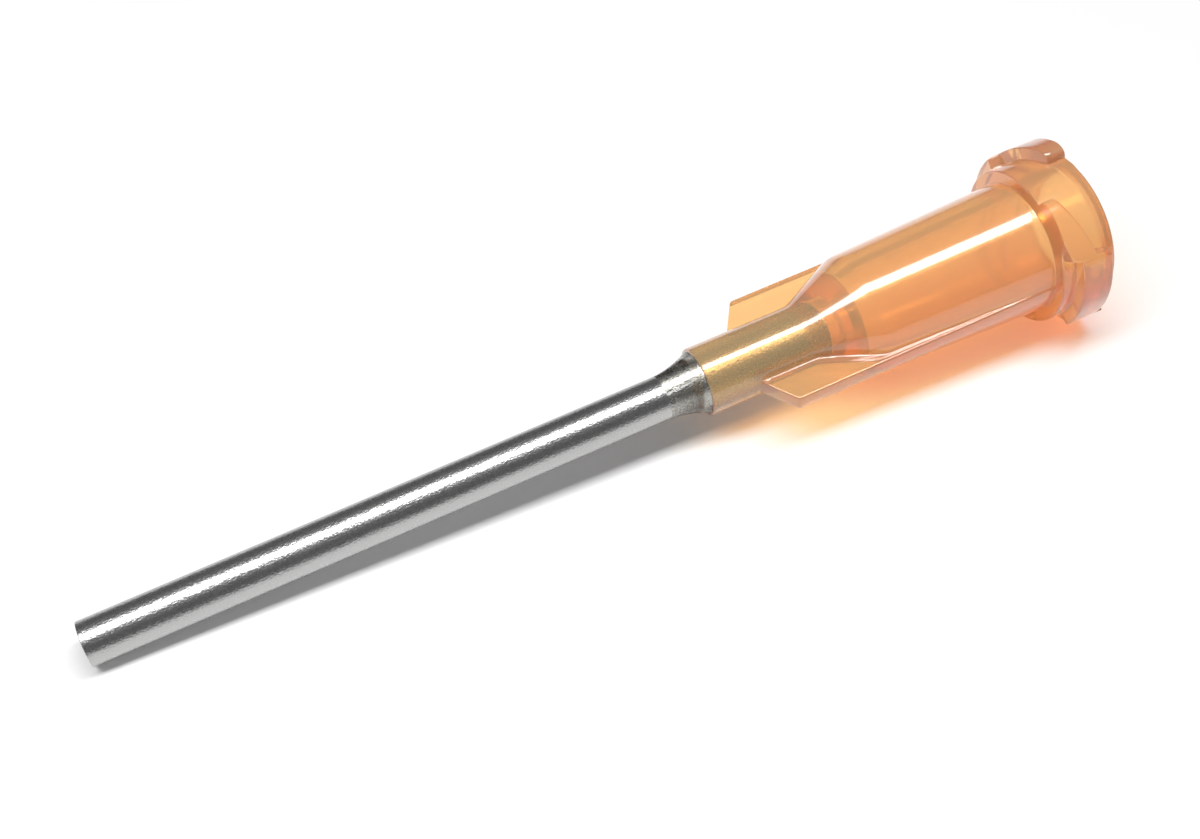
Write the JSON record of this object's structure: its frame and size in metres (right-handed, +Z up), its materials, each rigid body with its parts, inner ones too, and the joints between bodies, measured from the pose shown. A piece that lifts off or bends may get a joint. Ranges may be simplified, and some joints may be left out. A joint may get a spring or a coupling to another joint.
{
  "type": "dispensing needle tip",
  "caption": "Blunt stainless steel dispensing needle in a winged amber hub with a female Luer lock socket, lying on its side.",
  "frame": {"origin": "centre of the bounding box's underside, on the surface that the needle lies on", "axes": "+X from the steel tip towards the hub, +Z up, +Y across the needle; the needle's own axis rises by 3.74 degrees from the tip to the hub"},
  "size_m": [0.0432, 0.0078, 0.0074],
  "materials": {
    "steel": "drawn and ground stainless steel tube with fine lines along it",
    "adhesive": "clear cured adhesive, glossy",
    "hub_plastic": "translucent amber polypropylene, moulded glossy"
  },
  "bodies": {
    "root": {"cannula": "steel", "adhesive": "adhesive", "hub": "hub_plastic"}
  },
  "joints": []
}
